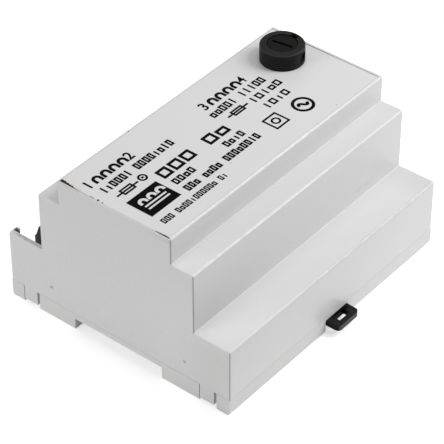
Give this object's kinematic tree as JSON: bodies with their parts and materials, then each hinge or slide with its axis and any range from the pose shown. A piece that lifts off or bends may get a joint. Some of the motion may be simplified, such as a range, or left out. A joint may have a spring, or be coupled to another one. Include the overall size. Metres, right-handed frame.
{
  "type": "din rail transformer",
  "caption": "Stepped pale grey transformer for a DIN rail, with a sprung rail latch, a slotted fuse holder on top and open screw terminals along the rear.",
  "frame": {"origin": "centre of the face that sits on the DIN rail", "axes": "+X along the rail, +Y to the terminal side, +Z away from the rail"},
  "size_m": [0.106, 0.095, 0.064],
  "materials": {
    "housing_grey": "fine moulded texture",
    "panel_grey": "fine satin, printed in black",
    "base_grey": "fine moulded texture, slightly yellowed",
    "black_plastic": "satin",
    "cap_black": "satin",
    "spring_steel": "zinc plated",
    "screw_steel": "zinc plated",
    "nickel": "nickel plated",
    "brass": "bright",
    "fuse_glass": "clear",
    "board": "solder mask",
    "core_steel": "stacked laminations",
    "bobbin_plastic": "moulded",
    "copper": "enamelled copper wire",
    "tape": "polyester tape",
    "lead_blue": "PVC insulation",
    "lead_brown": "PVC insulation",
    "lead_black": "PVC insulation",
    "lead_red": "PVC insulation"
  },
  "bodies": {
    "housing": {"base": "base_grey", "bobbin": "bobbin_plastic", "bobbin_pins": "nickel", "core_e_stack": "core_steel", "core_i_stack": "core_steel", "core_screws": "spring_steel", "front_panel": "panel_grey", "fuse_bottom_contact": "brass", "fuse_holder_body": "black_plastic", "fuse_holder_nut": "black_plastic", "fuse_side_contact": "brass", "hood": "housing_grey", "input_contact_1": "brass", "input_contact_2": "brass", "input_terminal_body": "black_plastic", "latch_spring": "spring_steel", "lead_from_fuse": "lead_red", "lead_primary": "lead_blue", "lead_secondary": "lead_black", "lead_thermal_link": "lead_brown", "lead_to_fuse": "lead_red", "output_contact_1": "brass", "output_contact_2": "brass", "output_terminal_body": "black_plastic", "primary_winding": "copper", "secondary_winding": "copper", "terminal_board": "board", "thermal_link": "nickel", "winding_tape": "tape"},
    "rail_latch": {"rail_latch": "black_plastic"},
    "fuse_carrier": {"fuse_cap": "cap_black", "fuse_tube": "fuse_glass", "fuse_end_caps": "nickel", "fuse_wire": "nickel"},
    "input_screw_1": {"input_screw_1": "screw_steel"},
    "input_cage_1": {"input_cage_1": "nickel"},
    "input_screw_2": {"input_screw_2": "screw_steel"},
    "input_cage_2": {"input_cage_2": "nickel"},
    "output_screw_1": {"output_screw_1": "screw_steel"},
    "output_cage_1": {"output_cage_1": "nickel"},
    "output_screw_2": {"output_screw_2": "screw_steel"},
    "output_cage_2": {"output_cage_2": "nickel"}
  },
  "joints": [
    {"name": "latch_slide", "type": "slide", "parent": "housing", "child": "rail_latch", "axis": [0, -1, 0], "range_m": [0, 0.004], "stiffness_N_per_m": 1500, "springref_m": -0.003, "deforming": ["latch_spring"]},
    {"name": "fuse_cap_turn", "type": "hinge", "parent": "housing", "child": "fuse_carrier", "pos_m": [0.0402, 0.0086, 0.0597], "axis": [0, 0, 1], "range_deg": [0, 90]},
    {"name": "input_screw_1_turn", "type": "hinge", "parent": "housing", "child": "input_screw_1", "pos_m": [-0.04095, 0.0349, 0.0207], "axis": [0, 0, -1], "range_deg": [0, 2880]},
    {"name": "input_cage_1_lift", "type": "slide", "parent": "housing", "child": "input_cage_1", "axis": [0, 0, 1], "range_m": [0, 0.004]},
    {"name": "input_screw_2_turn", "type": "hinge", "parent": "housing", "child": "input_screw_2", "pos_m": [-0.03345, 0.0349, 0.0207], "axis": [0, 0, -1], "range_deg": [0, 2880]},
    {"name": "input_cage_2_lift", "type": "slide", "parent": "housing", "child": "input_cage_2", "axis": [0, 0, 1], "range_m": [0, 0.004]},
    {"name": "output_screw_1_turn", "type": "hinge", "parent": "housing", "child": "output_screw_1", "pos_m": [0.04095, 0.0349, 0.0207], "axis": [0, 0, -1], "range_deg": [0, 2880]},
    {"name": "output_cage_1_lift", "type": "slide", "parent": "housing", "child": "output_cage_1", "axis": [0, 0, 1], "range_m": [0, 0.004]},
    {"name": "output_screw_2_turn", "type": "hinge", "parent": "housing", "child": "output_screw_2", "pos_m": [0.03345, 0.0349, 0.0207], "axis": [0, 0, -1], "range_deg": [0, 2880]},
    {"name": "output_cage_2_lift", "type": "slide", "parent": "housing", "child": "output_cage_2", "axis": [0, 0, 1], "range_m": [0, 0.004]}
  ],
  "couplings": [
    {"joint": "input_screw_1_turn", "follows": "input_cage_1_lift", "rad_per_m": 12566},
    {"joint": "input_screw_2_turn", "follows": "input_cage_2_lift", "rad_per_m": 12566},
    {"joint": "output_screw_1_turn", "follows": "output_cage_1_lift", "rad_per_m": 12566},
    {"joint": "output_screw_2_turn", "follows": "output_cage_2_lift", "rad_per_m": 12566}
  ]
}
